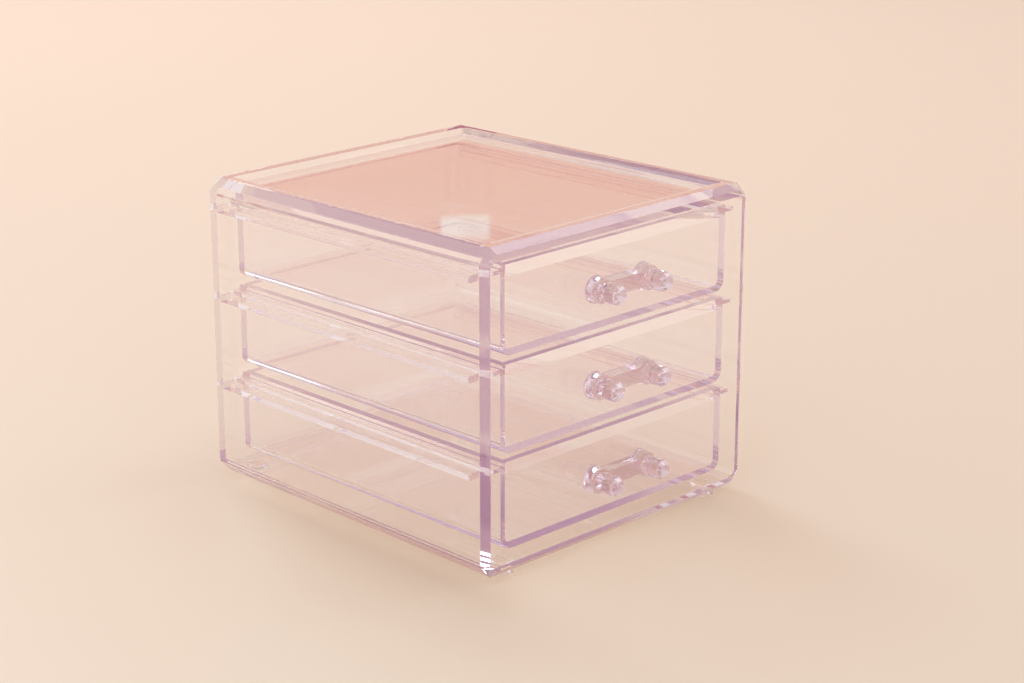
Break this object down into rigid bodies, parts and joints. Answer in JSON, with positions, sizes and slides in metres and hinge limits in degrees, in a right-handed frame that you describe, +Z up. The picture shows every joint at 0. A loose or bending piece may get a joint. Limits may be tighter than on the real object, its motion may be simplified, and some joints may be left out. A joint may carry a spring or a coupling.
{
  "type": "acrylic makeup organizer drawers",
  "caption": "Clear plastic cosmetics box: open-fronted casing with a recessed top, sliding trays on side rails, and crystal-cut pulls.",
  "frame": {"origin": "bottom centre of the whole part's box, on the plane that the feet stand on", "axes": "+Z up, drawers open towards -Y, +X to the right when facing the back wall"},
  "size_m": [0.158, 0.1832, 0.14],
  "materials": {
    "casing_plastic": "polished, water-clear, faint mauve at the edges",
    "drawer_plastic": "polished, water-clear, faint lavender at the edges",
    "pull_plastic": "polished, crystal cut, clear"
  },
  "bodies": {
    "casing": {"casing": "casing_plastic"},
    "drawer_bottom": {"drawer_bottom": "drawer_plastic", "pull_bottom": "pull_plastic"},
    "drawer_middle": {"drawer_middle": "drawer_plastic", "pull_middle": "pull_plastic"},
    "drawer_top": {"drawer_top": "drawer_plastic", "pull_top": "pull_plastic"}
  },
  "joints": [
    {"name": "slide_bottom", "type": "slide", "parent": "casing", "child": "drawer_bottom", "axis": [0, -1, 0], "range_m": [0, 0.125]},
    {"name": "slide_middle", "type": "slide", "parent": "casing", "child": "drawer_middle", "axis": [0, -1, 0], "range_m": [0, 0.125]},
    {"name": "slide_top", "type": "slide", "parent": "casing", "child": "drawer_top", "axis": [0, -1, 0], "range_m": [0, 0.125]}
  ]
}
